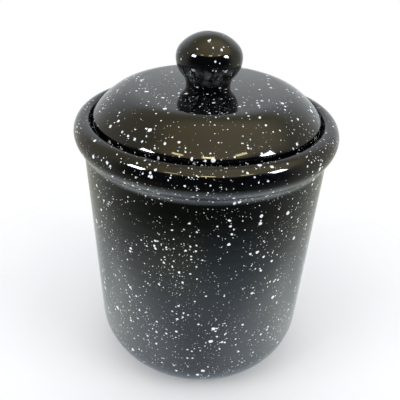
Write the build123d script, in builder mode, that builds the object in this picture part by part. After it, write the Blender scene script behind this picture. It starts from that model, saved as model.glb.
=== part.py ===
from build123d import *
from math import asin, cos, degrees, radians, sin, sqrt
import os

os.makedirs("parts", exist_ok=True)

# A stoneware canister: a jar with a rolled rim, a domed lid that drops into the rim,
# a ball knob on the lid, and a soft seal round the plug under the lid.
# Millimetres. The origin is on the table under the middle of the jar, and +Z is up.
# Every piece is round, so each one is a section turned about the Z axis.

# Jar
body_radius = 61.2  # outside of the straight wall
jar_height = 146.4  # table to the crown of the rim
wall = 5.5
floor = 6.0
base_curve = 24.0  # outside round from the wall into the foot
foot_width = 6.0  # flat ring that the jar stands on
foot_hollow = 2.0  # depth of the recess inside that ring
foot_edge = 0.8  # rounding of the recess

# Rolled rim, from its inner edge over the crown and down to the wall
lip_radius = 2.4  # inner edge of the rim
crown_round = 5.5  # crown of the rim
roll_face = 7.9  # front of the roll, down to its widest part
roll_slope = 37.0  # degrees above level that the roll faces where its front meets its crown
roll_under = 9.2  # lower half of the roll
cove_radius = 6.4  # hollow curve from the roll into the wall
rim_overhang = 3.8  # how far the roll stands out from the wall

# Ledge and throat that take the lid
gallery_depth = 5.0  # crown of the rim down to the ledge
gallery_corner = 1.2
ledge_width = 5.0
ledge_edge = 0.8
throat_height = 12.0
throat_ease = 4.0  # curves from the throat out to the wall below it

# Lid, from the edge up to the crown
lid_gap = 1.2  # play between the lid and the mouth of the jar
lid_side = 4.9  # seat up to the widest part of the lid
lid_edge = 1.8  # tight round at the edge of the dome
brow_radius = 37.0  # outer part of the dome
shoulder_radius = 20.0  # middle part of the dome
brow_slope = 51.5  # degrees of fall where the brow meets the edge
shoulder_slope = 32.0  # degrees of fall where the shoulder meets the brow
crown_slope = 2.6  # degrees of fall where the flat crown meets the shoulder
lid_thickness = 6.5  # at the crown
seat_edge = 1.2

# Plug under the lid, with the groove for the seal
plug_gap = 3.5  # throat to plug, which the lips of the seal span
plug_depth = 13.0
plug_wall = 5.0
plug_edge = 1.2
ceiling_curve = 9.0  # from the plug into the underside of the crown
groove_depth = 2.0
groove_height = 8.0
groove_drop = 3.0  # seat down to the top of the groove

# Knob
knob_radius = 15.7
knob_rise = 11.4  # widest part up to the top
knob_stand = 12.5  # crown of the lid up to the widest part
temple_radius = 8.2  # upper half of the ball, from the side to the cap
belly_radius = 11.5  # lower half of the ball
neck_radius = 10.8  # where the hollow neck under the ball meets the lid
foot_inset = 0.8  # how deep the foot of the neck is let into the lid
spigot_radius = 5.0
spigot_length = 3.0
luting_gap = 0.1  # slip joint round the spigot and the foot

# Seal ring
seal_slack = 0.25  # play of the ring in its groove
seal_gap = 0.3  # lips to the throat
lip_count = 3
lip_thickness = 1.0
lip_tip = 0.35

# Places that follow from the sizes above
rim_radius = body_radius + rim_overhang
roll_z = jar_height - crown_round - (roll_face - crown_round) * sin(radians(roll_slope))
face_centre = (rim_radius - roll_face, roll_z)
crown_centre = (
    face_centre[0] + (roll_face - crown_round) * cos(radians(roll_slope)),
    jar_height - crown_round,
)
mouth_radius = crown_centre[0] - lip_radius
room_radius = body_radius - wall
floor_z = foot_hollow + floor
foot_inner = body_radius - base_curve - foot_width
ledge_z = jar_height - gallery_depth
throat_radius = mouth_radius - ledge_width
throat_z = ledge_z - throat_height
room_z = throat_z - (room_radius - throat_radius)

# The underside of the roll and the cove touch where their centres' line crosses them.
under_centre = (rim_radius - roll_under, roll_z)
cove_reach = roll_under + cove_radius
cove_fall = sqrt(cove_reach**2 - (cove_reach - rim_overhang) ** 2)
cove_z = under_centre[1] - cove_fall
cove_sweep = degrees(asin(cove_fall / cove_reach))

# The dome is four arcs, each starting at the slope where the one before it ends.
lid_radius = mouth_radius - lid_gap
lid_edge_z = ledge_z + lid_side
brow_reach = brow_radius * (sin(radians(brow_slope)) - sin(radians(shoulder_slope)))
brow_fall = brow_radius * (cos(radians(shoulder_slope)) - cos(radians(brow_slope)))
shoulder_reach = shoulder_radius * (sin(radians(shoulder_slope)) - sin(radians(crown_slope)))
shoulder_fall = shoulder_radius * (cos(radians(crown_slope)) - cos(radians(shoulder_slope)))
edge_reach = lid_edge * (1 - sin(radians(brow_slope)))
edge_fall = lid_edge * cos(radians(brow_slope))
crown_reach = lid_radius - edge_reach - brow_reach - shoulder_reach
crown_radius = crown_reach / sin(radians(crown_slope))
crown_fall = crown_radius * (1 - cos(radians(crown_slope)))
crown_z = lid_edge_z + edge_fall + brow_fall + shoulder_fall + crown_fall

plug_radius = throat_radius - plug_gap
plug_inner = plug_radius - plug_wall
plug_z = ledge_z - plug_depth
ceiling_z = crown_z - lid_thickness
groove_radius = plug_radius - groove_depth
groove_top = ledge_z - groove_drop
groove_z = groove_top - groove_height

# The belly of the knob runs into a hollow neck that is upright where it meets the lid:
# their arcs touch where the line through their centres crosses them.
knob_z = crown_z + knob_stand
knob_top = knob_z + knob_rise
belly_centre = (knob_radius - belly_radius, knob_z)
neck_offset = neck_radius - belly_centre[0]
neck_span = neck_offset**2 + knob_stand**2 - belly_radius**2
neck_curve = neck_span / (2 * (belly_radius - neck_offset))
neck_centre = (neck_radius + neck_curve, crown_z)
neck_sweep = degrees(asin(knob_stand / (belly_radius + neck_curve)))

# The cap of the knob is the arc about the axis that touches the temple's arc from outside.
temple_centre = (knob_radius - temple_radius, knob_z)
cap_span = temple_centre[0] ** 2 + knob_rise**2 - temple_radius**2
cap_radius = cap_span / (2 * (knob_rise - temple_radius))
cap_slope = degrees(asin(temple_centre[0] / (cap_radius - temple_radius)))
knob_seat_z = crown_z - foot_inset
spigot_z = knob_seat_z - spigot_length

# Jar
with BuildPart() as jar:
    with BuildSketch(Plane.XZ) as jar_section:
        with BuildLine():
            side = Line((body_radius, 0), (body_radius, cove_z))
            CenterArc((body_radius + cove_radius, cove_z), cove_radius, 180, -cove_sweep)
            CenterArc(under_centre, roll_under, -cove_sweep, cove_sweep)
            CenterArc(face_centre, roll_face, 0, roll_slope)
            CenterArc(crown_centre, crown_round, roll_slope, 90 - roll_slope)
            lip = CenterArc((crown_centre[0], jar_height - lip_radius), lip_radius, 90, 90)
            Polyline(
                lip @ 1,
                (mouth_radius, ledge_z),
                (throat_radius, ledge_z),
                (throat_radius, throat_z),
                (room_radius, room_z),
                (room_radius, floor_z),
                (0, floor_z),
                (0, foot_hollow),
                (foot_inner, foot_hollow),
                (foot_inner, 0),
                side @ 0,
            )
        make_face()
        jar_corners = [
            ((body_radius, 0), base_curve),
            ((room_radius, floor_z), base_curve - wall),
            ((room_radius, room_z), throat_ease),
            ((throat_radius, throat_z), throat_ease),
            ((throat_radius, ledge_z), ledge_edge),
            ((mouth_radius, ledge_z), gallery_corner),
            ((foot_inner, foot_hollow), foot_edge),
            ((foot_inner, 0), foot_edge),
        ]
        for corner, radius in jar_corners:
            fillet(jar_section.vertices().sort_by_distance(corner)[0], radius)
    revolve(axis=Axis.Z)
jar.part.label = "jar"
export_step(jar.part, "parts/jar.step")

# Lid, with a counterbored socket in its crown for the knob
with BuildPart() as lid:
    with BuildSketch(Plane.XZ) as lid_section:
        with BuildLine():
            crown = JernArc((0, crown_z), (1, 0), crown_radius, -crown_slope)
            shoulder = JernArc(crown @ 1, crown % 1, shoulder_radius, crown_slope - shoulder_slope)
            brow = JernArc(shoulder @ 1, shoulder % 1, brow_radius, shoulder_slope - brow_slope)
            edge = JernArc(brow @ 1, brow % 1, lid_edge, brow_slope - 90)
            Polyline(
                edge @ 1,
                (lid_radius, ledge_z),
                (plug_radius, ledge_z),
                (plug_radius, groove_top),
                (groove_radius, groove_top),
                (groove_radius, groove_z),
                (plug_radius, groove_z),
                (plug_radius, plug_z),
                (plug_inner, plug_z),
                (plug_inner, ceiling_z),
                (0, ceiling_z),
                crown @ 0,
            )
        make_face()
        lid_corners = [
            ((lid_radius, ledge_z), seat_edge),
            ((plug_radius, plug_z), plug_edge),
            ((plug_inner, plug_z), plug_edge),
            ((plug_inner, ceiling_z), ceiling_curve),
        ]
        for corner, radius in lid_corners:
            fillet(lid_section.vertices().sort_by_distance(corner)[0], radius)
    revolve(axis=Axis.Z)
    with Locations((0, 0, crown_z)):
        CounterBoreHole(
            radius=spigot_radius + luting_gap,
            counter_bore_radius=neck_radius + luting_gap,
            counter_bore_depth=foot_inset,
            depth=foot_inset + spigot_length + luting_gap,
        )
lid.part.label = "lid"
export_step(lid.part, "parts/lid.step")

# Knob
with BuildPart() as knob:
    with BuildSketch(Plane.XZ):
        with BuildLine():
            CenterArc((0, knob_top - cap_radius), cap_radius, 90, -cap_slope)
            CenterArc(temple_centre, temple_radius, 90 - cap_slope, cap_slope - 90)
            CenterArc(belly_centre, belly_radius, 0, -neck_sweep)
            neck = CenterArc(neck_centre, neck_curve, 180 - neck_sweep, neck_sweep)
            Polyline(
                neck @ 1,
                (neck_radius, knob_seat_z),
                (spigot_radius, knob_seat_z),
                (spigot_radius, spigot_z),
                (0, spigot_z),
                (0, knob_top),
            )
        make_face()
    revolve(axis=Axis.Z)
knob.part.label = "knob"
export_step(knob.part, "parts/knob.step")

# Seal ring: a band that lies in the groove, with evenly spaced lips
band_height = groove_height - seal_slack
band_inner = groove_radius + seal_slack
lip_pitch = (band_height - lip_thickness) / (lip_count - 1)
with BuildPart() as seal_ring:
    with BuildSketch(Plane.XZ) as seal_section:
        with Locations((band_inner, groove_z)):
            Rectangle(plug_radius - band_inner, band_height, align=Align.MIN)
        with Locations([(band_inner, groove_z + lip_pitch * i) for i in range(lip_count)]):
            Rectangle(throat_radius - seal_gap - band_inner, lip_thickness, align=Align.MIN)
        fillet(seal_section.vertices().group_by(Axis.X)[-1], lip_tip)
    revolve(axis=Axis.Z)
seal_ring.part.label = "seal_ring"
export_step(seal_ring.part, "parts/seal_ring.step")
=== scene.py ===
import math

import bpy
import numpy as np
from mathutils import Matrix, Vector


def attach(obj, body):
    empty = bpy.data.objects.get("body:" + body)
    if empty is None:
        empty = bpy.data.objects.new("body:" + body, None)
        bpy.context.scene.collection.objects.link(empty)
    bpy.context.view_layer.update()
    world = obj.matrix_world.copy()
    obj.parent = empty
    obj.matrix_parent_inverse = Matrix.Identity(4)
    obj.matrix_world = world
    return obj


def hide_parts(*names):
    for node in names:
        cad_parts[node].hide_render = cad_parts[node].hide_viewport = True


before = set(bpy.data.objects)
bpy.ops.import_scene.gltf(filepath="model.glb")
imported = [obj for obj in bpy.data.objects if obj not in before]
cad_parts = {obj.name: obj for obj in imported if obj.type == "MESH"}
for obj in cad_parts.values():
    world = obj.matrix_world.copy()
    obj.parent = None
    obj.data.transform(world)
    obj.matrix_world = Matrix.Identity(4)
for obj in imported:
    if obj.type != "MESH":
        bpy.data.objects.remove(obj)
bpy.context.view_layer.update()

# A black glazed stoneware canister, splashed with white: a jar, its lid, the lid's knob and a soft seal.
# Each piece is a section, drawn as (distance from the axis, height), turned about +Z.
# Lengths are in millimetres and slopes in degrees.
MM = 0.001

# Jar
BODY_RADIUS = 61.2  # outside of the straight wall
JAR_HEIGHT = 146.4  # table to the crown of the rim
WALL = 5.5
FLOOR = 6.0
BASE_CURVE = 24.0  # outside round from the wall into the foot
FOOT_WIDTH = 6.0  # flat ring that the jar stands on
FOOT_HOLLOW = 2.0  # depth of the recess inside that ring
FOOT_EDGE = 0.8
RIM_OVERHANG = 3.8  # how far the roll of the rim stands out from the wall
LIP_RADIUS = 2.4  # inner edge of the rim
CROWN_ROUND = 5.5  # crown of the rim
ROLL_FACE = 7.9  # front of the roll, down to its widest part
ROLL_SLOPE = 37.0  # above level, where the front of the roll meets its crown
ROLL_UNDER = 9.2  # lower half of the roll
COVE_RADIUS = 6.4  # hollow curve from the roll into the wall
GALLERY_DEPTH = 5.0  # crown of the rim down to the ledge
GALLERY_CORNER = 1.2
LEDGE_WIDTH = 5.0
LEDGE_EDGE = 0.8
THROAT_HEIGHT = 12.0
THROAT_EASE = 4.0  # curves from the throat out to the wall below it

# Lid
LID_GAP = 1.2  # play between the lid and the mouth of the jar
LID_SIDE = 4.9  # seat up to the widest part of the lid
LID_EDGE = 1.8  # tight round at the edge of the dome
DOME_RADII = (20.0, 37.0, LID_EDGE)  # shoulder, brow and edge, outwards from the flat crown
DOME_SLOPES = (2.6, 32.0, 51.5, 90.0)  # fall where each arc of the dome meets the next
LID_THICKNESS = 6.5  # at the crown
SEAT_EDGE = 1.2
PLUG_GAP = 3.5  # throat to plug, which the lips of the seal span
PLUG_DEPTH = 13.0
PLUG_WALL = 5.0
PLUG_EDGE = 1.2
CEILING_CURVE = 9.0  # from the plug into the underside of the crown
GROOVE_DEPTH = 2.0
GROOVE_HEIGHT = 8.0
GROOVE_DROP = 3.0  # seat down to the top of the groove

# Knob
KNOB_RADIUS = 15.7
KNOB_RISE = 11.4  # widest part up to the top
KNOB_STAND = 12.5  # crown of the lid up to the widest part
TEMPLE_RADIUS = 8.2  # upper half of the ball, from the side to the cap
BELLY_RADIUS = 11.5  # lower half of the ball
NECK_RADIUS = 10.8  # where the hollow neck meets the lid
FOOT_INSET = 0.8  # how deep the foot of the neck is let into the lid
SPIGOT_RADIUS = 5.0
SPIGOT_LENGTH = 3.0
LUTING_GAP = 0.1  # slip joint round the spigot and the foot
GLAZE_LAP = 0.3  # how far the glaze at the foot of the knob laps onto the lid

# Seal
SEAL_SLACK = 0.25  # play of the ring in its groove
SEAL_GAP = 0.3  # lips to the throat
LIP_COUNT = 3
LIP_THICKNESS = 1.0
LIP_TIP = 0.35
LIP_ROOT = 0.5

# Spacing of the points along each section
ROLL_STEP = 0.4  # rim of the jar and ball of the knob
NECK_STEP = 0.25
DOME_STEP = 0.6
ROOM_STEP = 1.6  # inside of the jar
WALL_STEP = 1.1  # outside of the jar
UNDER_STEP = 1.2  # underside of the lid
SOCKET_STEP = 1.5  # joint of the knob and the lid
SEAL_STEP = 0.3
STEPS_IN_RADIUS = 9  # a tight arc of the dome has this many steps in the length of its radius
FEWEST_STEPS = 4  # in any arc
SAME_POINT = 1e-4  # points nearer than this are one
SHARP_ANGLE = 40.0  # edges that turn by more than this stay sharp

# Places that follow from the sizes
rim_radius = BODY_RADIUS + RIM_OVERHANG
roll_rise = (ROLL_FACE - CROWN_ROUND) * math.sin(math.radians(ROLL_SLOPE))
roll_z = JAR_HEIGHT - CROWN_ROUND - roll_rise
crown_r = rim_radius - ROLL_FACE + (ROLL_FACE - CROWN_ROUND) * math.cos(math.radians(ROLL_SLOPE))
mouth_radius = crown_r - LIP_RADIUS
room_radius = BODY_RADIUS - WALL
foot_inner = BODY_RADIUS - BASE_CURVE - FOOT_WIDTH
ledge_z = JAR_HEIGHT - GALLERY_DEPTH
throat_radius = mouth_radius - LEDGE_WIDTH
throat_z = ledge_z - THROAT_HEIGHT
cove_reach = ROLL_UNDER + COVE_RADIUS
cove_fall = math.sqrt(cove_reach**2 - (cove_reach - RIM_OVERHANG) ** 2)
cove_sweep = math.degrees(math.asin(cove_fall / cove_reach))

lid_radius = mouth_radius - LID_GAP
plug_radius = throat_radius - PLUG_GAP
plug_inner = plug_radius - PLUG_WALL
plug_z = ledge_z - PLUG_DEPTH
groove_radius = plug_radius - GROOVE_DEPTH
groove_top = ledge_z - GROOVE_DROP
groove_z = groove_top - GROOVE_HEIGHT
dome_sines = np.sin(np.radians(DOME_SLOPES))
dome_cosines = np.cos(np.radians(DOME_SLOPES))
crown_reach = lid_radius - np.sum(np.array(DOME_RADII) * np.diff(dome_sines))
crown_curve = crown_reach / dome_sines[0]
crown_fall = crown_curve * (1 - dome_cosines[0])
crown_z = ledge_z + LID_SIDE + crown_fall - np.sum(np.array(DOME_RADII) * np.diff(dome_cosines))

knob_z = crown_z + KNOB_STAND
knob_top = knob_z + KNOB_RISE
knob_seat_z = crown_z - FOOT_INSET
spigot_z = knob_seat_z - SPIGOT_LENGTH
temple_r = KNOB_RADIUS - TEMPLE_RADIUS
cap_curve = (temple_r**2 + KNOB_RISE**2 - TEMPLE_RADIUS**2) / (2 * (KNOB_RISE - TEMPLE_RADIUS))
cap_slope = math.degrees(math.asin(temple_r / (cap_curve - TEMPLE_RADIUS)))
belly_r = KNOB_RADIUS - BELLY_RADIUS
neck_offset = NECK_RADIUS - belly_r
neck_curve = (neck_offset**2 + KNOB_STAND**2 - BELLY_RADIUS**2) / (2 * (BELLY_RADIUS - neck_offset))
neck_sweep = math.degrees(math.asin(KNOB_STAND / (BELLY_RADIUS + neck_curve)))
# The neck ends where it meets the crown of the lid, which has fallen a little by then.
neck_foot_z = crown_z - crown_curve + math.sqrt(crown_curve**2 - NECK_RADIUS**2)
socket_radius = NECK_RADIUS - GLAZE_LAP


def arc(centre, radius, start, end, step):
    """Points (c_r + R cos a, c_z + R sin a) with a running evenly from start to end, about step apart."""
    count = max(FEWEST_STEPS, math.ceil(abs(math.radians(end - start)) * radius / step)) + 1
    angle = np.radians(np.linspace(start, end, count))
    return np.stack([centre[0] + radius * np.cos(angle), centre[1] + radius * np.sin(angle)], axis=1)


def straight(start, end, step):
    """Points start + k (end - start) with k running evenly from 0 to 1, about step apart."""
    start = np.asarray(start, dtype=float)
    end = np.asarray(end, dtype=float)
    count = max(1, math.ceil(np.linalg.norm(end - start) / step)) + 1
    return start + np.linspace(0, 1, count)[:, None] * (end - start)


def rounded(corners, step):
    """Straight lines through corners (r, z, rounding). The arc at a corner touches both lines: its ends
    lie rounding / tan(h) along them and its centre rounding / sin(h) from the corner, h being half the
    corner's angle."""
    spots = np.array([corner[:2] for corner in corners], dtype=float)
    runs = [spots[:1]]
    for before, spot, after, corner in zip(spots, spots[1:], spots[2:], corners[1:]):
        rounding = corner[2]
        back = (before - spot) / np.linalg.norm(before - spot)
        ahead = (after - spot) / np.linalg.norm(after - spot)
        half = math.acos(np.clip(back @ ahead, -1, 1)) / 2
        start = spot + back * rounding / math.tan(half)
        runs.append(straight(runs[-1][-1], start, step))
        if rounding > 0:
            middle = (back + ahead) / np.linalg.norm(back + ahead)
            centre = spot + middle * rounding / math.sin(half)
            first = math.degrees(math.atan2(start[1] - centre[1], start[0] - centre[0]))
            side = np.sign(ahead[0] * back[1] - ahead[1] * back[0])
            last = first + side * (180 - 2 * math.degrees(half))
            runs.append(arc(centre, rounding, first, last, step))
    runs.append(straight(runs[-1][-1], spots[-1], step))
    return np.concatenate(runs)


def joined(*runs):
    """Runs end to end, without the points that repeat the one before them."""
    points = np.concatenate(runs)
    gap = np.linalg.norm(np.diff(points, axis=0), axis=1)
    return points[np.concatenate([[True], gap > SAME_POINT])]


def jar_section():
    """From the middle of the inner floor up the wall to the ledge, over the rolled rim in arcs that touch,
    and down the outside to the foot."""
    cove_z = roll_z - cove_fall
    inside = rounded(
        [
            (0, FOOT_HOLLOW + FLOOR, 0),
            (room_radius, FOOT_HOLLOW + FLOOR, BASE_CURVE - WALL),
            (room_radius, throat_z - (room_radius - throat_radius), THROAT_EASE),
            (throat_radius, throat_z, THROAT_EASE),
            (throat_radius, ledge_z, LEDGE_EDGE),
            (mouth_radius, ledge_z, GALLERY_CORNER),
            (mouth_radius, JAR_HEIGHT - LIP_RADIUS, 0),
        ],
        ROOM_STEP,
    )
    lip = arc((crown_r, JAR_HEIGHT - LIP_RADIUS), LIP_RADIUS, 180, 90, ROLL_STEP)
    crown = arc((crown_r, JAR_HEIGHT - CROWN_ROUND), CROWN_ROUND, 90, ROLL_SLOPE, ROLL_STEP)
    face = arc((rim_radius - ROLL_FACE, roll_z), ROLL_FACE, ROLL_SLOPE, 0, ROLL_STEP)
    under = arc((rim_radius - ROLL_UNDER, roll_z), ROLL_UNDER, 0, -cove_sweep, ROLL_STEP)
    cove = arc((BODY_RADIUS + COVE_RADIUS, cove_z), COVE_RADIUS, 180 - cove_sweep, 180, ROLL_STEP)
    outside = rounded(
        [
            (BODY_RADIUS, cove_z, 0),
            (BODY_RADIUS, 0, BASE_CURVE),
            (foot_inner, 0, FOOT_EDGE),
            (foot_inner, FOOT_HOLLOW, FOOT_EDGE),
            (0, FOOT_HOLLOW, 0),
        ],
        WALL_STEP,
    )
    return joined(inside, lip, crown, face, under, cove, outside)


def lid_section():
    """From the bottom of the knob's socket over the dome, in arcs that fall ever more steeply, and back
    under it along the seat, the plug with its groove, and the hollow."""
    socket_slope = math.degrees(math.asin(socket_radius / crown_curve))
    crown = arc((0, crown_z - crown_curve), crown_curve, 90 - socket_slope, 90 - DOME_SLOPES[0], DOME_STEP)
    socket = rounded(
        [
            (0, spigot_z - LUTING_GAP, 0),
            (SPIGOT_RADIUS + LUTING_GAP, spigot_z - LUTING_GAP, 0),
            (SPIGOT_RADIUS + LUTING_GAP, knob_seat_z - LUTING_GAP, 0),
            (socket_radius, knob_seat_z - LUTING_GAP, 0),
            (crown[0, 0], crown[0, 1], 0),
        ],
        SOCKET_STEP,
    )
    dome = [crown]
    for radius, slope, next_slope in zip(DOME_RADII, DOME_SLOPES, DOME_SLOPES[1:]):
        fall = math.radians(slope)
        centre = dome[-1][-1] - radius * np.array([math.sin(fall), math.cos(fall)])
        step = min(DOME_STEP, radius / STEPS_IN_RADIUS)
        dome.append(arc(centre, radius, 90 - slope, 90 - next_slope, step))
    under = rounded(
        [
            (lid_radius, ledge_z + LID_SIDE, 0),
            (lid_radius, ledge_z, SEAT_EDGE),
            (plug_radius, ledge_z, 0),
            (plug_radius, groove_top, 0),
            (groove_radius, groove_top, 0),
            (groove_radius, groove_z, 0),
            (plug_radius, groove_z, 0),
            (plug_radius, plug_z, PLUG_EDGE),
            (plug_inner, plug_z, PLUG_EDGE),
            (plug_inner, crown_z - LID_THICKNESS, CEILING_CURVE),
            (0, crown_z - LID_THICKNESS, 0),
        ],
        UNDER_STEP,
    )
    return joined(socket, *dome, under)


def knob_section():
    """From the top of the ball down its cap, temple and belly, in arcs that touch, in along the neck and
    down into the spigot."""
    cap = arc((0, knob_top - cap_curve), cap_curve, 90, 90 - cap_slope, ROLL_STEP)
    temple = arc((temple_r, knob_z), TEMPLE_RADIUS, 90 - cap_slope, 0, ROLL_STEP)
    belly = arc((belly_r, knob_z), BELLY_RADIUS, 0, -neck_sweep, ROLL_STEP)
    neck = arc((NECK_RADIUS + neck_curve, crown_z), neck_curve, 180 - neck_sweep, 180, NECK_STEP)
    foot = rounded(
        [
            (NECK_RADIUS, neck_foot_z, 0),
            (socket_radius - LUTING_GAP, neck_foot_z, 0),
            (socket_radius - LUTING_GAP, knob_seat_z, 0),
            (SPIGOT_RADIUS, knob_seat_z, 0),
            (SPIGOT_RADIUS, spigot_z, 0),
            (0, spigot_z, 0),
        ],
        SOCKET_STEP,
    )
    return joined(cap, temple, belly, neck, foot)


def seal_section():
    """Once round the band and its lips, each lip with a rounded tip and an eased root."""
    band_inner = groove_radius + SEAL_SLACK
    lip_radius = throat_radius - SEAL_GAP
    height = GROOVE_HEIGHT - SEAL_SLACK
    lip_z = groove_z + np.linspace(0, height - LIP_THICKNESS, LIP_COUNT)
    corners = [(band_inner, groove_z + height / 2, 0), (band_inner, groove_z, LIP_TIP)]
    for low in lip_z:
        if low > groove_z:
            corners.append((plug_radius, low, LIP_ROOT))
        corners.append((lip_radius, low, LIP_TIP))
        corners.append((lip_radius, low + LIP_THICKNESS, LIP_TIP))
        if low < lip_z[-1]:
            corners.append((plug_radius, low + LIP_THICKNESS, LIP_ROOT))
    corners.append((band_inner, groove_z + height, LIP_TIP))
    corners.append((band_inner, groove_z + height / 2, 0))
    return joined(rounded(corners, SEAL_STEP))


def hand_marks(sway, rings, pitch, drift):
    """How far the surface lies under its section, s along it and t round it: sway (1 - cos(2 t + drift)) / 2
    for a pot that isn't quite round, and rings (1 - cos(2 pi s / pitch + sin(3 t + drift))) / 2 for the
    marks of turning."""

    def depth(s, t):
        out_of_round = sway * (1 - np.cos(2 * t + drift)) / 2
        turning = rings * (1 - np.cos(2 * math.pi * s / pitch + np.sin(3 * t + drift))) / 2
        return out_of_round + turning

    return depth


def turned(name, section, sides, depth):
    """A section turned about +Z. Grid point (i, j) is the section's point i, moved in along its normal by
    depth(s_i, t_j), at (r cos t_j, r sin t_j, z), with t_j = 2 pi j / sides and s_i the length along the
    section. A section that starts and ends on the axis closes in two poles, and one that ends where it
    starts closes in a ring."""
    ring = np.allclose(section[0], section[-1], atol=SAME_POINT)
    r, z = section.T
    if np.sum(r * np.roll(z, -1) - np.roll(r, -1) * z) < 0:
        section = section[::-1]
    along = np.concatenate([[0], np.cumsum(np.linalg.norm(np.diff(section, axis=0), axis=1))])
    heading = np.gradient(section, along, axis=0)
    heading /= np.linalg.norm(heading, axis=1, keepdims=True)
    rows = section[:-1] if ring else section[1:-1]
    row_ids = np.arange(len(section) - 1) if ring else np.arange(1, len(section) - 1)
    turn = 2 * math.pi * np.arange(sides) / sides
    inward = depth(along[row_ids][:, None], turn[None, :])
    radius = rows[:, :1] - heading[row_ids, 1:] * inward
    height = rows[:, 1:] + heading[row_ids, :1] * inward
    points = np.stack([radius * np.cos(turn), radius * np.sin(turn), height], axis=-1).reshape(-1, 3)
    grid = np.arange(len(points)).reshape(len(rows), sides)
    beside = np.roll(grid, -1, axis=1)
    if ring:
        above = np.roll(grid, -1, axis=0)
        above_beside = np.roll(beside, -1, axis=0)
        faces = np.stack([grid, beside, above_beside, above], axis=-1).reshape(-1, 4).tolist()
    else:
        faces = np.stack([grid[:-1], beside[:-1], beside[1:], grid[1:]], axis=-1).reshape(-1, 4).tolist()
        first = len(points)
        last = first + 1
        points = np.concatenate([points, [[0, 0, section[0, 1]], [0, 0, section[-1, 1]]]])
        faces += np.stack([np.full(sides, first), beside[0], grid[0]], axis=-1).tolist()
        faces += np.stack([grid[-1], beside[-1], np.full(sides, last)], axis=-1).tolist()
    mesh = bpy.data.meshes.new(name)
    mesh.from_pydata((points * MM).tolist(), [], faces)
    mesh.shade_smooth()
    mesh.set_sharp_from_angle(angle=math.radians(SHARP_ANGLE))
    piece = bpy.data.objects.new(name, mesh)
    bpy.context.scene.collection.objects.link(piece)
    return piece


# Nodes
MIX_SHARE, MIX_FIRST, MIX_SECOND, MIX_COLOUR = 0, 6, 7, 2  # sockets of a Mix node that mixes colours
TINY = 1e-4  # keeps a division off zero


def feed(tree, target, value):
    """Links an output to target, or sets target to a plain value."""
    if isinstance(value, bpy.types.NodeSocket):
        tree.links.new(value, target)
    else:
        target.default_value = value


def reckon(tree, operation, *values):
    """One step of arithmetic on outputs and numbers."""
    node = tree.nodes.new("ShaderNodeMath")
    node.operation = operation
    for target, value in zip(node.inputs, values):
        feed(tree, target, value)
    return node.outputs[0]


def ramp(tree, value, low, high, at_low=0.0, at_high=1.0):
    """A smooth step from at_low, where value is low, to at_high, where it is high."""
    node = tree.nodes.new("ShaderNodeMapRange")
    node.interpolation_type = "SMOOTHSTEP"
    for label, amount in (("From Min", low), ("From Max", high), ("To Min", at_low), ("To Max", at_high)):
        feed(tree, node.inputs[label], amount)
    feed(tree, node.inputs["Value"], value)
    return node.outputs["Result"]


def ramp_mm(tree, length, low, high, at_low=0.0, at_high=1.0):
    """The same step for a length on the piece, between two lengths in millimetres."""
    return ramp(tree, length, low * MM, high * MM, at_low, at_high)


def blend(tree, share, first, second):
    """Colour first where share is 0, and second where it is 1."""
    node = tree.nodes.new("ShaderNodeMix")
    node.data_type = "RGBA"
    feed(tree, node.inputs[MIX_SHARE], share)
    feed(tree, node.inputs[MIX_FIRST], first)
    feed(tree, node.inputs[MIX_SECOND], second)
    return node.outputs[MIX_COLOUR]


def noise(tree, place, size, detail=2.0):
    """Soft noise about 0.5 whose lumps are about size millimetres across."""
    node = tree.nodes.new("ShaderNodeTexNoise")
    feed(tree, node.inputs["Vector"], place)
    node.inputs["Scale"].default_value = 1 / (size * MM)
    node.inputs["Detail"].default_value = detail
    return node


def split(tree, value):
    """The three parts of a vector or colour."""
    node = tree.nodes.new("ShaderNodeSeparateXYZ")
    feed(tree, node.inputs[0], value)
    return node.outputs


def node_group(name, inputs, outputs):
    """An empty shader group with these sockets: inputs as (label, kind, value), outputs as (label, kind)."""
    group = bpy.data.node_groups.new(name, "ShaderNodeTree")
    for label, kind, value in inputs:
        socket = group.interface.new_socket(label, in_out="INPUT", socket_type="NodeSocket" + kind)
        if value is not None:
            socket.default_value = value
    for label, kind in outputs:
        group.interface.new_socket(label, in_out="OUTPUT", socket_type="NodeSocket" + kind)
    return group, group.nodes.new("NodeGroupInput").outputs, group.nodes.new("NodeGroupOutput").inputs


def placed(tree, group, **values):
    """A group put to use in a tree, its inputs fed from outputs or plain values, with _ for a space."""
    node = tree.nodes.new("ShaderNodeGroup")
    node.node_tree = group
    for label, value in values.items():
        feed(tree, node.inputs[label.replace("_", " ")], value)
    return node.outputs


# Finishes. Levels are the two levels of a soft noise between which it takes effect.
MOST_LEVELS = (0.3, 0.7)  # nearly all of the noise lies between these
DROP_SIZES = (
    # spacing of the drops, least and greatest radius, share of places with one, blur, changed by Coarseness
    (6.0, 0.5, 1.15, 0.55, 0.12, True),
    (2.7, 0.30, 0.70, 0.48, 0.10, True),
    (1.6, 0.18, 0.38, 0.42, 0.08, False),
    (1.05, 0.09, 0.19, 0.42, 0.06, False),
)
DROP_FIRED = 0.86  # how white the dullest drops fired
DROP_RUN = 0.9  # how far the edge of a drop ran
DROP_ROUGHNESS = 0.05  # what a drop adds to the roughness of the black
DROP_SWELL = 0.12  # and to the height of its ripple
CLUSTER_LEVELS = (0.32, 0.68)
CLUSTER_CROWDING = (0.35, 1.65)  # between clusters and inside them
SPLASH_WHITE = (0.92, 0.93, 0.94, 1)
BLACK_OLIVE = (0.0019, 0.0020, 0.0014, 1)
BLACK_BLUE = (0.0012, 0.0014, 0.0021, 1)
BLACK_FLECK = (0.0050, 0.0050, 0.0056, 1)
FLECK_LEVELS = (0.52, 0.78)
GLAZE_LEVELS = (0.35, 0.7)
GLAZE_ROUGHNESS = (0.035, 0.075)
GLAZE_RELIEF = 0.02
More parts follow.
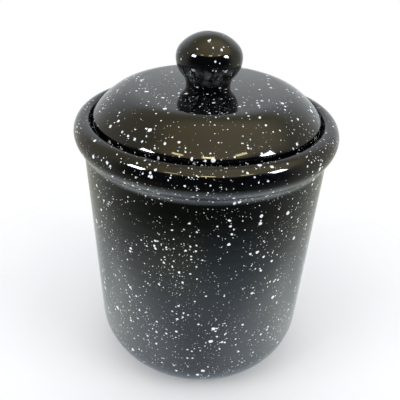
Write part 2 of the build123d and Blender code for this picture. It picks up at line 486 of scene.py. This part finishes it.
GLAZE_IOR = 1.5
VEIL_GREY = (0.088, 0.098, 0.100, 1)
VEIL_LEVELS = (0.38, 0.70)
VEIL_SQUEEZE = (1.0, 1.0, 0.4)  # makes its streaks longer upwards than across
CLAY_BUFF = (0.46, 0.37, 0.27, 1)
CLAY_PALE = (0.56, 0.48, 0.38, 1)
CLAY_GRAIN = (0.26, 0.19, 0.13, 1)
GRAIN_LEVELS = (0.5, 0.72)
CLAY_ROUGHNESS = 0.75  # what bare clay adds to the roughness of the glaze
CLAY_EDGE = (0.55, 0.25)  # heights over the kiln shelf where the glaze is whole and where it is gone
CLAY_RAGGED = 0.5  # how far the grain shifts that edge
SILICONE_CLOUDY = (0.74, 0.74, 0.70, 1)
SILICONE_CLEAR = (0.84, 0.84, 0.82, 1)
SILICONE_DUST = (0.66, 0.65, 0.61, 1)
DUST_LEVELS = (0.55, 0.8)
SILICONE_ROUGHNESS = (0.34, 0.52)
SILICONE_RELIEF = 0.02
SILICONE_IOR = 1.42
SILICONE_GLOW = 0.25  # share of light that spreads under its skin
SILICONE_SPREAD = (0.002, 0.002, 0.0018)  # and how far, in metres


def drops_group():
    """One size of glaze drop: a ball about the point of each cell of a jittered lattice. A cell has a drop
    where its first random number is under Share. The square of its second number sets the radius, from Least
    to Most, and its third how white the drop fired."""
    group, given, out = node_group(
        "splashed_drops",
        [
            ("Place", "Vector", None),
            ("Spacing", "Float", 3.0),
            ("Least", "Float", 0.2),
            ("Most", "Float", 0.6),
            ("Share", "Float", 0.5),
            ("Blur", "Float", 0.1),
        ],
        [("White", "Float")],
    )
    grow = group.nodes.new("ShaderNodeVectorMath")
    grow.operation = "SCALE"
    feed(group, grow.inputs[0], given["Place"])
    feed(group, grow.inputs["Scale"], reckon(group, "DIVIDE", 1 / MM, given["Spacing"]))
    cells = group.nodes.new("ShaderNodeTexVoronoi")
    feed(group, cells.inputs["Vector"], grow.outputs[0])
    cells.inputs["Scale"].default_value = 1.0
    lots = split(group, cells.outputs["Color"])
    span = reckon(group, "SUBTRACT", given["Most"], given["Least"])
    radius = reckon(group, "MULTIPLY_ADD", reckon(group, "POWER", lots[1], 2.0), span, given["Least"])
    off = reckon(group, "MULTIPLY", cells.outputs["Distance"], given["Spacing"])
    edge = reckon(group, "ADD", radius, given["Blur"])
    ball = ramp(group, off, edge, reckon(group, "SUBTRACT", radius, given["Blur"]))
    there = reckon(group, "LESS_THAN", lots[0], given["Share"])
    fired = reckon(group, "MULTIPLY_ADD", lots[2], 1 - DROP_FIRED, DROP_FIRED)
    feed(group, out["White"], reckon(group, "MULTIPLY", reckon(group, "MULTIPLY", ball, there), fired))
    return group


def splash_group(drops):
    """White drops of four sizes, in loose clusters, with edges that ran a little as the glaze melted."""
    group, given, out = node_group(
        "white_splash",
        [("Place", "Vector", None), ("Crowding", "Float", 1.0), ("Coarseness", "Float", 1.0)],
        [("White", "Float")],
    )
    swirl = noise(group, given["Place"], size=1.3, detail=1.0)
    shifted = group.nodes.new("ShaderNodeVectorMath")
    shifted.operation = "MULTIPLY_ADD"
    feed(group, shifted.inputs[0], swirl.outputs["Color"])
    shifted.inputs[1].default_value = (DROP_RUN * MM, DROP_RUN * MM, DROP_RUN * MM)
    feed(group, shifted.inputs[2], given["Place"])
    cluster = noise(group, given["Place"], size=17.0, detail=1.5).outputs["Fac"]
    loose = ramp(group, cluster, *CLUSTER_LEVELS, *CLUSTER_CROWDING)
    crowded = reckon(group, "MULTIPLY", loose, given["Crowding"])
    coarse = reckon(group, "MULTIPLY", crowded, given["Coarseness"])
    white = 0.0
    for spacing, least, most, share, blur, bold in DROP_SIZES:
        layer = placed(
            group,
            drops,
            Place=shifted.outputs[0],
            Spacing=spacing,
            Least=least,
            Most=most,
            Blur=blur,
            Share=reckon(group, "MULTIPLY", coarse if bold else crowded, share),
        )
        white = reckon(group, "MAXIMUM", layer["White"], white)
    feed(group, out["White"], white)
    return group


def film_group():
    """The black glaze under the splash: nearly black with a drift of olive and blue and a few grey flecks,
    its gloss a little uneven, and its surface gently rippled as it set."""
    group, given, out = node_group(
        "black_film",
        [("Place", "Vector", None)],
        [("Colour", "Color"), ("Roughness", "Float"), ("Ripple", "Float")],
    )
    drift = noise(group, given["Place"], size=45.0, detail=3.0).outputs["Fac"]
    black = blend(group, ramp(group, drift, *MOST_LEVELS), BLACK_OLIVE, BLACK_BLUE)
    flecks = noise(group, given["Place"], size=2.2, detail=4.0).outputs["Fac"]
    feed(group, out["Colour"], blend(group, ramp(group, flecks, *FLECK_LEVELS), black, BLACK_FLECK))
    wiped = noise(group, given["Place"], size=22.0, detail=4.0).outputs["Fac"]
    feed(group, out["Roughness"], ramp(group, wiped, *GLAZE_LEVELS, *GLAZE_ROUGHNESS))
    feed(group, out["Ripple"], noise(group, given["Place"], size=7.0, detail=2.0).outputs["Fac"])
    return group


def clay_group():
    """Bare fired clay: buff, with paler patches and darker grains."""
    group, given, out = node_group(
        "bare_clay",
        [("Place", "Vector", None)],
        [("Colour", "Color"), ("Grain", "Float")],
    )
    grain = noise(group, given["Place"], size=0.7, detail=5.0).outputs["Fac"]
    patch = noise(group, given["Place"], size=9.0, detail=3.0).outputs["Fac"]
    buff = blend(group, ramp(group, patch, *MOST_LEVELS), CLAY_BUFF, CLAY_PALE)
    feed(group, out["Colour"], blend(group, ramp(group, grain, *GRAIN_LEVELS), buff, CLAY_GRAIN))
    feed(group, out["Grain"], grain)
    return group


DROPS = drops_group()
SPLASH = splash_group(DROPS)
FILM = film_group()
CLAY = clay_group()


def new_material(name):
    """A material with an empty Principled shader, its tree, the shader and the piece's Object coordinates."""
    material = bpy.data.materials.new(name)
    material.use_nodes = True
    tree = material.node_tree
    tree.nodes.clear()
    shader = tree.nodes.new("ShaderNodeBsdfPrincipled")
    output = tree.nodes.new("ShaderNodeOutputMaterial")
    tree.links.new(shader.outputs["BSDF"], output.inputs["Surface"])
    return material, tree, shader, tree.nodes.new("ShaderNodeTexCoord").outputs["Object"]


def bump(tree, height, depth):
    """A normal from a height that runs from 0 to 1, depth being that rise in millimetres."""
    node = tree.nodes.new("ShaderNodeBump")
    node.inputs["Strength"].default_value = 1.0
    node.inputs["Distance"].default_value = depth * MM
    feed(tree, node.inputs["Height"], height)
    return node.outputs["Normal"]


def veiled(tree, place, height, black, band):
    """The black with pale grey streaks over it, in a band of four heights: the veil comes in from the first
    to the second and goes out from the third to the fourth."""
    squeeze = tree.nodes.new("ShaderNodeVectorMath")
    squeeze.operation = "MULTIPLY"
    feed(tree, squeeze.inputs[0], place)
    squeeze.inputs[1].default_value = VEIL_SQUEEZE
    streak = noise(tree, squeeze.outputs[0], size=2.6, detail=3.0).outputs["Fac"]
    foot, whole_from, whole_to, top = band
    coming = ramp_mm(tree, height, foot, whole_from)
    going = ramp_mm(tree, height, top, whole_to)
    in_band = reckon(tree, "MULTIPLY", coming, going)
    share = reckon(tree, "MULTIPLY", ramp(tree, streak, *VEIL_LEVELS), in_band)
    return blend(tree, share, black, VEIL_GREY)


def speckled_glaze(name, crowding, coarseness, bare_below, veil=None):
    """Black glaze, veiled in a band where one is given, with a white splash that crowds from the first to the
    second amount between its two heights, over clay that is left bare where the piece stood in the kiln."""
    material, tree, shader, place = new_material(name)
    height = split(tree, place)[2]
    (low_z, low_amount), (high_z, high_amount) = crowding
    crowd = ramp_mm(tree, height, low_z, high_z, low_amount, high_amount)
    splash = placed(tree, SPLASH, Place=place, Crowding=crowd, Coarseness=coarseness)["White"]
    film = placed(tree, FILM, Place=place)
    clay = placed(tree, CLAY, Place=place)
    ragged = reckon(tree, "MULTIPLY_ADD", clay["Grain"], CLAY_RAGGED * MM, height)
    bare = ramp_mm(tree, ragged, bare_below + CLAY_EDGE[0], bare_below + CLAY_EDGE[1])
    black = film["Colour"]
    if veil is not None:
        black = veiled(tree, place, height, black, veil)
    glazed = blend(tree, splash, black, SPLASH_WHITE)
    feed(tree, shader.inputs["Base Color"], blend(tree, bare, glazed, clay["Colour"]))
    gloss = reckon(tree, "MULTIPLY_ADD", splash, DROP_ROUGHNESS, film["Roughness"])
    feed(tree, shader.inputs["Roughness"], reckon(tree, "MULTIPLY_ADD", bare, CLAY_ROUGHNESS, gloss))
    swell = reckon(tree, "MULTIPLY_ADD", splash, DROP_SWELL, film["Ripple"])
    feed(tree, shader.inputs["Normal"], bump(tree, swell, GLAZE_RELIEF))
    shader.inputs["IOR"].default_value = GLAZE_IOR
    return material


def soft_silicone(name):
    """Cloudy pale silicone with a satin skin and a little dust in its grain."""
    material, tree, shader, place = new_material(name)
    cloud = noise(tree, place, size=6.0, detail=3.0).outputs["Fac"]
    skin = noise(tree, place, size=0.5, detail=4.0).outputs["Fac"]
    pale = blend(tree, ramp(tree, cloud, *MOST_LEVELS), SILICONE_CLOUDY, SILICONE_CLEAR)
    dusty = blend(tree, ramp(tree, skin, *DUST_LEVELS), pale, SILICONE_DUST)
    feed(tree, shader.inputs["Base Color"], dusty)
    feed(tree, shader.inputs["Roughness"], ramp(tree, skin, *MOST_LEVELS, *SILICONE_ROUGHNESS))
    feed(tree, shader.inputs["Normal"], bump(tree, skin, SILICONE_RELIEF))
    shader.inputs["IOR"].default_value = SILICONE_IOR
    shader.inputs["Subsurface Weight"].default_value = SILICONE_GLOW
    shader.inputs["Subsurface Radius"].default_value = SILICONE_SPREAD
    shader.inputs["Subsurface Scale"].default_value = 1.0
    return material


# Pieces
KNOB_VEIL = (161.5, 164.0, 166.5, 171.5)  # from the upper neck to just under the widest part of the ball

jar = turned("jar_turned", jar_section(), 260, hand_marks(sway=0.16, rings=0.012, pitch=5.2, drift=0.7))
lid = turned("lid_turned", lid_section(), 360, hand_marks(sway=0.10, rings=0.010, pitch=4.3, drift=2.1))
knob = turned("knob_turned", knob_section(), 180, hand_marks(sway=0.12, rings=0.006, pitch=3.7, drift=1.2))
seal = turned("seal_moulded", seal_section(), 300, hand_marks(sway=0.0, rings=0.0, pitch=1.0, drift=0.0))

jar_glaze = speckled_glaze("jar_glaze", ((20, 1.05), (120, 0.88)), coarseness=1.0, bare_below=0.0)
lid_glaze = speckled_glaze("lid_glaze", ((145, 0.6), (160, 0.56)), coarseness=1.6, bare_below=plug_z)
knob_glaze = speckled_glaze("knob_glaze", ((160, 1.0), (180, 0.5)), 0.7, spigot_z, veil=KNOB_VEIL)
seal_silicone = soft_silicone("seal_silicone")

for piece, node, body, slot, finish in (
    (jar, "jar", "jar", "speckled_glaze", jar_glaze),
    (lid, "lid", "lid", "speckled_glaze", lid_glaze),
    (knob, "knob", "lid", "speckled_glaze", knob_glaze),
    (seal, "seal_ring", "seal", "seal_silicone", seal_silicone),
):
    piece.data.materials.append(finish)
    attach(piece, body)
    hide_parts(node)


# Studio floor. The colours after the first two are painted light that gloss shows on the floor.
FLOOR_FULL = 115.0  # the pale floor is whole to this distance from the axis
FLOOR_GONE = 240.0  # and has faded into the white beyond it here
FLOOR_SIDES = 96
FLOOR_ROWS = 24
FLOOR_WHITE = (0.895, 0.88, 0.86, 1)
FLOOR_FIBRE = (0.8, 0.8, 0.8, 1)
FIBRE_SHARE = 0.1
FLOOR_NEAR = (0.79, 0.87, 0.96, 1)  # in front, by the pot
FLOOR_FAR_LEFT = (0.86, 0.95, 0.76, 1)  # and further off
FLOOR_FAR_RIGHT = (0.58, 0.72, 0.78, 1)
FLOOR_SIDE = (0.82, 0.86, 0.83, 1)  # beside the pot
FLOOR_BACK = (0.74, 0.76, 0.72, 1)  # behind it
FAR_ACROSS = (-40.0, 40.0)  # x between the far left and the far right
FAR_REACH = (110.0, 180.0)  # distance from the axis between near and far
SIDE_TURN = (0.5, 0.95)  # sine of the turn away from the front, between front and side
BACK_Y = (0.0, 45.0)  # y between side and back
FLOOR_GLOW = (0.53, 0.55, 0.555, 1)  # what the windows add in a band round the front
FLOOR_DARK = (0, 0, 0, 1)
GLOW_INNER = (56.0, 80.0)  # distance from the axis where the band comes in
GLOW_OUTER = (105.0, 50.0)  # and where it goes out
GLOW_DRAWN_IN = 75.0  # how much wider its outer edge is beside the pot than in front
GLOW_TURN = (0.0, 0.5)  # it is weaker in the middle of the front
GLOW_AMOUNT = (0.5, 1.0)
GLOW_Y = (10.0, -45.0)  # and ends beside the pot

# Mirrored room. Each pair of limits is of a direction's part along X or Z, or, for ahead, of its part along
# Y once it is made level.
ROOM_WALL = (0.61, 0.58, 0.47, 1)
ROOM_WALL_TOP = (0.62, 0.57, 0.38, 1)
WALL_Z = (0.4, 0.75)
ROOM_BACKDROP = (0.88, 0.92, 0.94, 1)
BACKDROP_AHEAD = (0.45, 0.85)
BACKDROP_Z = (0.72, 0.55)
ROOM_CEILING_LEFT = (1.26, 1.06, 0.60, 1)
ROOM_CEILING_RIGHT = (1.52, 1.31, 0.84, 1)
CEILING_X = (-0.4, 0.3)
CEILING_Z = (0.60, 0.94)
CEILING_TIP = 0.22  # how much lower the ceiling starts on the right, and higher on the left
CEILING_LIFT = 0.35  # and how much higher behind the pot
ROOM_FRONT = (0.02, 0.02, 0.022, 1)
UNLIT_AHEAD = (0.05, -0.62)
UNLIT_Z = (0.66, 0.45)
CAMERA_SIDE_AHEAD = (-0.18, -0.72)
CAMERA_SIDE_Z = (0.62, 0.74)
ROOM_LOW_FRONT = (0.045, 0.052, 0.042, 1)
ROOM_LOW_BACK = (0.66, 0.68, 0.59, 1)
LOW_AHEAD = (-1.0, 0.8)
LOW_Z = (-0.12, -0.40)

# Light and camera
CAMERA_WHITE = (1, 1, 1, 1)
SOFT_LIGHT = (0.76, 0.78, 0.81, 1)
SOFT_SIDES = (1.12, 1.18, 1.25, 1)
SOFT_X = (0.25, 0.85)
DAYLIGHT = (0.94, 0.97, 1.0)
LAMPLIGHT = (1.0, 0.88, 0.46)
BACKLIGHT = (0.92, 0.96, 1.0)
LAMP_DISTANCE = 1200.0
LAMPS = (
    # name, degrees round from the camera's side, degrees up, width, height, radiance, colour, mirrored
    ("left_window", -61.0, 33.0, 260.0, 200.0, 90.0, DAYLIGHT, True),
    ("right_window", 65.0, 33.0, 235.0, 210.0, 90.0, DAYLIGHT, True),
    ("left_lamp", -33.0, 48.5, 190.0, 60.0, 14.0, LAMPLIGHT, True),
    ("middle_lamp", 3.0, 48.5, 190.0, 60.0, 28.0, LAMPLIGHT, True),
    ("right_lamp", 42.0, 48.5, 190.0, 60.0, 14.0, LAMPLIGHT, True),
    ("left_softbox", -61.0, 33.0, 500.0, 400.0, 7.2, DAYLIGHT, False),
    ("right_softbox", 65.0, 33.0, 500.0, 400.0, 6.6, DAYLIGHT, False),
    ("back_softbox", 180.0, 42.0, 1000.0, 400.0, 1.5, BACKLIGHT, False),
)
AIM = (-1.833, 0.0, 93.0)
CAMERA_TILT = 32.85  # below level
CAMERA_ROLL = 2.16
CAMERA_DISTANCE = 241.44
CAMERA_LENS = 38.5
CAMERA_NEAR = 10.0  # nothing nearer than this is drawn


def floor_disc():
    """A flat disc: grid point (i, j) at (r_i cos t_j, r_i sin t_j, 0), with t_j = 2 pi j / sides and the
    radii spread evenly to the faded edge."""
    turn = 2 * math.pi * np.arange(FLOOR_SIDES) / FLOOR_SIDES
    radius = np.linspace(0, FLOOR_GONE, FLOOR_ROWS + 1)[1:, None]
    points = np.stack([radius * np.cos(turn), radius * np.sin(turn), radius * np.zeros(FLOOR_SIDES)], axis=-1)
    grid = np.arange(FLOOR_ROWS * FLOOR_SIDES).reshape(FLOOR_ROWS, FLOOR_SIDES)
    beside = np.roll(grid, -1, axis=1)
    faces = np.stack([grid[:-1], grid[1:], beside[1:], beside[:-1]], axis=-1).reshape(-1, 4).tolist()
    middle = np.full(FLOOR_SIDES, FLOOR_ROWS * FLOOR_SIDES)
    faces += np.stack([middle, grid[0], beside[0]], axis=-1).tolist()
    points = np.concatenate([points.reshape(-1, 3), [[0, 0, 0]]])
    mesh = bpy.data.meshes.new("floor")
    mesh.from_pydata((points * MM).tolist(), [], faces)
    disc = bpy.data.objects.new("floor", mesh)
    bpy.context.scene.collection.objects.link(disc)
    return disc


def floor_material():
    """Pale paper that fades out with distance from the axis. To gloss it shows painted light: bluish in front
    of the pot, olive further off on the left and bluer on the right, and duller beside the pot and behind it,
    with a band of window light painted round the front as a glow."""
    material, tree, shader, place = new_material("pale_floor")
    x, y, _ = split(tree, place)
    square = reckon(tree, "ADD", reckon(tree, "MULTIPLY", x, x), reckon(tree, "MULTIPLY", y, y))
    reach = reckon(tree, "SQRT", square)
    sideways = reckon(tree, "DIVIDE", reckon(tree, "ABSOLUTE", x), reckon(tree, "MAXIMUM", reach, TINY))
    mirrored = tree.nodes.new("ShaderNodeLightPath").outputs["Is Glossy Ray"]
    fibre = noise(tree, place, size=3.0, detail=4.0).outputs["Fac"]
    paper = blend(tree, reckon(tree, "MULTIPLY", fibre, FIBRE_SHARE), FLOOR_WHITE, FLOOR_FIBRE)
    # Painted light that gloss shows on the floor: tints by place round the pot.
    far = blend(tree, ramp_mm(tree, x, *FAR_ACROSS), FLOOR_FAR_LEFT, FLOOR_FAR_RIGHT)
    tinted = blend(tree, ramp_mm(tree, reach, *FAR_REACH), FLOOR_NEAR, far)
    tinted = blend(tree, ramp(tree, sideways, *SIDE_TURN), tinted, FLOOR_SIDE)
    tinted = blend(tree, ramp_mm(tree, y, *BACK_Y), tinted, FLOOR_BACK)
    feed(tree, shader.inputs["Base Color"], blend(tree, mirrored, paper, tinted))
    # Painted window light: an emission that gloss shows in a band round the front.
    drawn_in = reckon(tree, "MULTIPLY_ADD", sideways, -GLOW_DRAWN_IN * MM, reach)
    lit = mirrored
    for share in (
        ramp(tree, sideways, *GLOW_TURN, *GLOW_AMOUNT),
        ramp_mm(tree, reach, *GLOW_INNER),
        ramp_mm(tree, drawn_in, *GLOW_OUTER),
        ramp_mm(tree, y, *GLOW_Y),
    ):
        lit = reckon(tree, "MULTIPLY", lit, share)
    feed(tree, shader.inputs["Emission Color"], blend(tree, lit, FLOOR_DARK, FLOOR_GLOW))
    shader.inputs["Emission Strength"].default_value = 1.0
    shader.inputs["Roughness"].default_value = 0.9
    shader.inputs["Specular IOR Level"].default_value = 0.0
    feed(tree, shader.inputs["Alpha"], ramp_mm(tree, reach, FLOOR_FULL, FLOOR_GONE, 1.0, 0.0))
    return material


def studio_world():
    """White to the camera, and a soft light on the pieces that is stronger from the sides. Gloss mirrors a
    plain room: walls that turn olive upwards, a pale backdrop behind the pot, a warm ceiling that is dimmer
    on the left and starts higher there and at the back, nothing lit below it on the camera's side, and a
    floor that is dark in front."""
    world = bpy.data.worlds.new("studio")
    world.use_nodes = True
    tree = world.node_tree
    tree.nodes.clear()
    x, y, z = split(tree, tree.nodes.new("ShaderNodeTexCoord").outputs["Generated"])
    level = reckon(tree, "SQRT", reckon(tree, "MULTIPLY_ADD", reckon(tree, "MULTIPLY", z, z), -1.0, 1.0))
    ahead = reckon(tree, "DIVIDE", y, reckon(tree, "MAXIMUM", level, TINY))
    wall = blend(tree, ramp(tree, z, *WALL_Z), ROOM_WALL, ROOM_WALL_TOP)
    behind_pot = reckon(tree, "MULTIPLY", ramp(tree, ahead, *BACKDROP_AHEAD), ramp(tree, z, *BACKDROP_Z))
    room = blend(tree, behind_pot, wall, ROOM_BACKDROP)
    tipped = reckon(tree, "MULTIPLY_ADD", x, CEILING_TIP, z)
    tipped = reckon(tree, "MULTIPLY_ADD", reckon(tree, "MAXIMUM", y, 0.0), -CEILING_LIFT, tipped)
    ceiling = blend(tree, ramp(tree, x, *CEILING_X), ROOM_CEILING_LEFT, ROOM_CEILING_RIGHT)
    room = blend(tree, ramp(tree, tipped, *CEILING_Z), room, ceiling)
    unlit = reckon(tree, "MULTIPLY", ramp(tree, ahead, *UNLIT_AHEAD), ramp(tree, z, *UNLIT_Z))
    room = blend(tree, unlit, room, ROOM_FRONT)
    lit_above = blend(tree, ramp(tree, z, *CAMERA_SIDE_Z), ROOM_FRONT, ceiling)
    room = blend(tree, ramp(tree, ahead, *CAMERA_SIDE_AHEAD), room, lit_above)
    low = blend(tree, ramp(tree, ahead, *LOW_AHEAD), ROOM_LOW_FRONT, ROOM_LOW_BACK)
    room = blend(tree, ramp(tree, z, *LOW_Z), room, low)
    rays = tree.nodes.new("ShaderNodeLightPath").outputs
    mirrored = reckon(tree, "MAXIMUM", rays["Is Glossy Ray"], rays["Is Transmission Ray"])
    soft = blend(tree, ramp(tree, reckon(tree, "ABSOLUTE", x), *SOFT_X), SOFT_LIGHT, SOFT_SIDES)
    seen = blend(tree, mirrored, soft, room)
    background = tree.nodes.new("ShaderNodeBackground")
    feed(tree, background.inputs["Color"], blend(tree, rays["Is Camera Ray"], seen, CAMERA_WHITE))
    output = tree.nodes.new("ShaderNodeOutputWorld")
    tree.links.new(background.outputs["Background"], output.inputs["Surface"])
    return world


def studio_lamp(name, round_from_camera, up, width, height, radiance, colour, mirrored):
    """An area lamp that faces the rim of the pot: its power is radiance times pi times its area. Gloss shows
    the mirrored lamps only, and the other ones light the paint and the floor."""
    data = bpy.data.lights.new(name, "AREA")
    data.shape = "RECTANGLE"
    data.size = width * MM
    data.size_y = height * MM
    data.energy = radiance * math.pi * data.size * data.size_y
    data.color = colour
    lamp = bpy.data.objects.new(name, data)
    turn = math.radians(round_from_camera)
    rise = math.radians(up)
    way = Vector((math.sin(turn) * math.cos(rise), -math.cos(turn) * math.cos(rise), math.sin(rise)))
    lamp.location = way * LAMP_DISTANCE * MM + Vector((0, 0, JAR_HEIGHT * MM))
    lamp.rotation_euler = way.to_track_quat("Z", "Y").to_euler()
    lamp.visible_camera = False
    lamp.visible_glossy = mirrored
    lamp.visible_diffuse = not mirrored
    bpy.context.scene.collection.objects.link(lamp)


def photo_camera():
    """A camera that looks along +Y and down at the jar, rolled a little, at the photo's distance and lens."""
    tilt = math.radians(CAMERA_TILT)
    roll = math.radians(CAMERA_ROLL)
    ahead = Vector((0, math.cos(tilt), -math.sin(tilt)))
    across = Vector((1, 0, 0))
    upward = across.cross(ahead)
    right = math.cos(roll) * across + math.sin(roll) * upward
    top = math.cos(roll) * upward - math.sin(roll) * across
    data = bpy.data.cameras.new("photo_camera")
    data.lens = CAMERA_LENS
    data.clip_start = CAMERA_NEAR * MM
    camera = bpy.data.objects.new("photo_camera", data)
    stand = Matrix.Translation(Vector(AIM) * MM - ahead * CAMERA_DISTANCE * MM)
    camera.matrix_world = stand @ Matrix((right, top, -ahead)).transposed().to_4x4()
    bpy.context.scene.collection.objects.link(camera)
    return camera


floor = floor_disc()
floor.data.materials.append(floor_material())
for lamp in LAMPS:
    studio_lamp(*lamp)
bpy.context.scene.world = studio_world()
bpy.context.scene.camera = photo_camera()
bpy.context.scene.view_settings.view_transform = "Standard"
